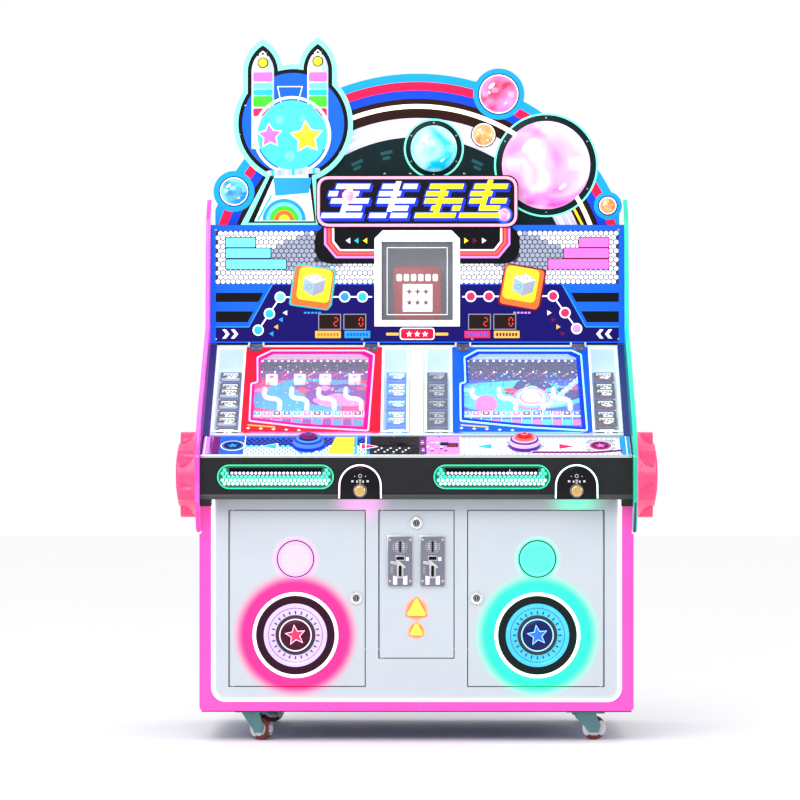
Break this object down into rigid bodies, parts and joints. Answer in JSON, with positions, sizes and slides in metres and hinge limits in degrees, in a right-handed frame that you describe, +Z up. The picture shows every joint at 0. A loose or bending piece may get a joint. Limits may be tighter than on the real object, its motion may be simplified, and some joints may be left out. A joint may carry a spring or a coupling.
{
  "type": "marble arcade cabinet",
  "caption": "Upright two-player marble and pinball arcade cabinet with sloping glass-topped playfields, lit backbox and arch, plungers, dials, coin door and swivel casters.",
  "frame": {"origin": "on the floor, in the middle of the footprint", "axes": "+Z up, +X to the player's right, the front faces -Y"},
  "size_m": [1.286, 0.8, 1.908],
  "materials": {
    "cabinet_laminate": "satin laminate over plywood",
    "pink_trim": "glossy moulded trim",
    "door_paint": "light grey powder coat",
    "white_paint": "white paint",
    "charcoal_fascia": "gloss black acrylic",
    "printed_panel": "printed and back-lit acrylic",
    "lit_grille": "pierced and back-lit",
    "red_lid": "printed toughened glass",
    "blue_lid": "printed toughened glass",
    "clear_glass": "toughened glass",
    "steel": "brushed",
    "chrome": "polished",
    "brass": "polished",
    "die_cast": "die cast, lacquered",
    "caster_zinc": "zinc plated",
    "caster_tread": "dark red rubber",
    "speaker_black": "black moulding",
    "red_shell": "glossy moulded",
    "lamp_dome": "translucent dome",
    "yellow_lamp": "lit lens",
    "wing_acrylic": "edge-lit acrylic",
    "board_print": "printed board",
    "clear_tube": "moulded tube",
    "carton": "printed packs",
    "blue_button": "translucent button",
    "lilac_dial": "moulded dial"
  },
  "bodies": {
    "root": {"base_frame": "cabinet_laminate", "cabinet_walls": "cabinet_laminate", "front_surround": "pink_trim", "front_panel": "door_paint", "hinge_pins": "steel", "control_box": "charcoal_fascia", "slot_grilles": "lit_grille", "launcher_plates": "charcoal_fascia", "deck_panel": "printed_panel", "play_tub": "white_paint", "play_boards": "board_print", "board_pins": "brass", "guide_tubes": "clear_tube", "prize_packs": "carton", "backbox_shell": "cabinet_laminate", "backbox_panel": "printed_panel", "showcase_frame": "white_paint", "showcase_glass": "clear_glass", "score_displays": "charcoal_fascia", "arch_plate": "printed_panel", "rocket_plate": "printed_panel", "title_plate": "charcoal_fascia", "ball_lamps": "lamp_dome", "side_wings": "wing_acrylic", "side_shells": "red_shell", "cash_box": "steel", "ball_hopper": "steel", "power_inlet": "speaker_black", "caster_plates": "caster_zinc"},
    "left_door": {"left_door": "door_paint", "left_speaker": "speaker_black"},
    "right_door": {"right_door": "door_paint", "right_speaker": "speaker_black"},
    "coin_door": {"coin_door": "door_paint", "coin_acceptors": "die_cast", "arrow_lamps": "yellow_lamp"},
    "rear_door": {"rear_door": "cabinet_laminate"},
    "left_lock": {"left_lock": "chrome"},
    "right_lock": {"right_lock": "chrome"},
    "coin_lock": {"coin_lock": "chrome"},
    "left_return_lever": {"left_return_lever": "chrome"},
    "right_return_lever": {"right_return_lever": "chrome"},
    "left_plunger": {"left_plunger": "brass"},
    "right_plunger": {"right_plunger": "brass"},
    "left_dial": {"left_dial": "lilac_dial"},
    "right_dial": {"right_dial": "lilac_dial"},
    "left_button": {"left_button": "blue_button"},
    "right_button": {"right_button": "blue_button"},
    "left_lid": {"left_lid": "red_lid"},
    "right_lid": {"right_lid": "blue_lid"},
    "caster_fork_front_left": {"caster_fork_front_left": "caster_zinc"},
    "caster_wheel_front_left": {"caster_wheel_front_left": "caster_tread"},
    "brake_pedal_front_left": {"brake_pedal_front_left": "caster_zinc"},
    "caster_fork_front_right": {"caster_fork_front_right": "caster_zinc"},
    "caster_wheel_front_right": {"caster_wheel_front_right": "caster_tread"},
    "brake_pedal_front_right": {"brake_pedal_front_right": "caster_zinc"},
    "caster_fork_rear_left": {"caster_fork_rear_left": "caster_zinc"},
    "caster_wheel_rear_left": {"caster_wheel_rear_left": "caster_tread"},
    "caster_fork_rear_right": {"caster_fork_rear_right": "caster_zinc"},
    "caster_wheel_rear_right": {"caster_wheel_rear_right": "caster_tread"}
  },
  "joints": [
    {"name": "left_door_hinge", "type": "hinge", "parent": "root", "child": "left_door", "pos_m": [-0.488, -0.302, 0.379], "axis": [0, 0, -1], "range_deg": [0, 100]},
    {"name": "right_door_hinge", "type": "hinge", "parent": "root", "child": "right_door", "pos_m": [0.488, -0.302, 0.379], "axis": [0, 0, 1], "range_deg": [0, 100]},
    {"name": "coin_door_hinge", "type": "hinge", "parent": "root", "child": "coin_door", "pos_m": [-0.0905, -0.302, 0.4168], "axis": [0, 0, -1], "range_deg": [0, 100]},
    {"name": "rear_door_hinge", "type": "hinge", "parent": "root", "child": "rear_door", "pos_m": [0.251, 0.391, 0.5], "axis": [0, 0, -1], "range_deg": [0, 100]},
    {"name": "left_lock_turn", "type": "hinge", "parent": "left_door", "child": "left_lock", "pos_m": [-0.1595, -0.302, 0.38], "axis": [0, -1, 0], "range_deg": [0, 90]},
    {"name": "right_lock_turn", "type": "hinge", "parent": "right_door", "child": "right_lock", "pos_m": [0.1595, -0.302, 0.38], "axis": [0, 1, 0], "range_deg": [0, 90]},
    {"name": "coin_lock_turn", "type": "hinge", "parent": "coin_door", "child": "coin_lock", "pos_m": [0, -0.302, 0.579], "axis": [0, 1, 0], "range_deg": [0, 90]},
    {"name": "left_return_lever_turn", "type": "hinge", "parent": "coin_door", "child": "left_return_lever", "pos_m": [-0.05, -0.317, 0.478], "axis": [0, 1, 0], "range_deg": [0, 25], "stiffness_Nm_per_rad": 0.05, "springref_deg": -5.73},
    {"name": "left_plunger_pull", "type": "slide", "parent": "root", "child": "left_plunger", "axis": [0, -1, 0], "range_m": [0, 0.045], "stiffness_N_per_m": 200, "springref_m": -0.005},
    {"name": "left_dial_turn", "type": "hinge", "parent": "root", "child": "left_dial", "pos_m": [-0.286, -0.31155, 0.78381], "axis": [0, -0.3907, 0.9205], "range_deg": [-60, 60]},
    {"name": "left_button_press", "type": "slide", "parent": "left_dial", "child": "left_button", "axis": [0, 0.3907, -0.9205], "range_m": [0, 0.004], "stiffness_N_per_m": 600, "springref_m": -0.001},
    {"name": "left_lid_hinge", "type": "hinge", "parent": "root", "child": "left_lid", "pos_m": [-0.2845, 0.09551, 1.05446], "axis": [-1, 0, 0], "range_deg": [0, 80]},
    {"name": "right_return_lever_turn", "type": "hinge", "parent": "coin_door", "child": "right_return_lever", "pos_m": [0.036, -0.317, 0.478], "axis": [0, 1, 0], "range_deg": [0, 25], "stiffness_Nm_per_rad": 0.05, "springref_deg": -5.73},
    {"name": "right_plunger_pull", "type": "slide", "parent": "root", "child": "right_plunger", "axis": [0, -1, 0], "range_m": [0, 0.045], "stiffness_N_per_m": 200, "springref_m": -0.005},
    {"name": "right_dial_turn", "type": "hinge", "parent": "root", "child": "right_dial", "pos_m": [0.286, -0.31155, 0.78381], "axis": [0, -0.3907, 0.9205], "range_deg": [-60, 60]},
    {"name": "right_button_press", "type": "slide", "parent": "right_dial", "child": "right_button", "axis": [0, 0.3907, -0.9205], "range_m": [0, 0.004], "stiffness_N_per_m": 600, "springref_m": -0.001},
    {"name": "right_lid_hinge", "type": "hinge", "parent": "root", "child": "right_lid", "pos_m": [0.2845, 0.09551, 1.05446], "axis": [-1, 0, 0], "range_deg": [0, 80]},
    {"name": "caster_swivel_front_left", "type": "hinge", "parent": "root", "child": "caster_fork_front_left", "pos_m": [-0.44, -0.24, 0.0705], "axis": [0, 0, 1], "continuous": true},
    {"name": "caster_wheel_spin_front_left", "type": "hinge", "parent": "caster_fork_front_left", "child": "caster_wheel_front_left", "pos_m": [-0.41297, -0.25893, 0.0315], "axis": [0.5736, 0.8192, 0], "continuous": true},
    {"name": "brake_pedal_press_front_left", "type": "hinge", "parent": "caster_fork_front_left", "child": "brake_pedal_front_left", "pos_m": [-0.41542, -0.25721, 0.0685], "axis": [0.5736, 0.8192, 0], "range_deg": [0, 12]},
    {"name": "caster_swivel_front_right", "type": "hinge", "parent": "root", "child": "caster_fork_front_right", "pos_m": [0.44, -0.24, 0.0705], "axis": [0, 0, 1], "continuous": true},
    {"name": "caster_wheel_spin_front_right", "type": "hinge", "parent": "caster_fork_front_right", "child": "caster_wheel_front_right", "pos_m": [0.473, -0.24, 0.0315], "axis": [0, 1, 0], "continuous": true},
    {"name": "brake_pedal_press_front_right", "type": "hinge", "parent": "caster_fork_front_right", "child": "brake_pedal_front_right", "pos_m": [0.47, -0.24, 0.0685], "axis": [0, 1, 0], "range_deg": [0, 12]},
    {"name": "caster_swivel_rear_left", "type": "hinge", "parent": "root", "child": "caster_fork_rear_left", "pos_m": [-0.44, 0.32, 0.0705], "axis": [0, 0, 1], "continuous": true},
    {"name": "caster_wheel_spin_rear_left", "type": "hinge", "parent": "caster_fork_rear_left", "child": "caster_wheel_rear_left", "pos_m": [-0.407, 0.32, 0.0315], "axis": [0, 1, 0], "continuous": true},
    {"name": "caster_swivel_rear_right", "type": "hinge", "parent": "root", "child": "caster_fork_rear_right", "pos_m": [0.44, 0.32, 0.0705], "axis": [0, 0, 1], "continuous": true},
    {"name": "caster_wheel_spin_rear_right", "type": "hinge", "parent": "caster_fork_rear_right", "child": "caster_wheel_rear_right", "pos_m": [0.47101, 0.33129, 0.0315], "axis": [-0.342, 0.9397, 0], "continuous": true}
  ]
}
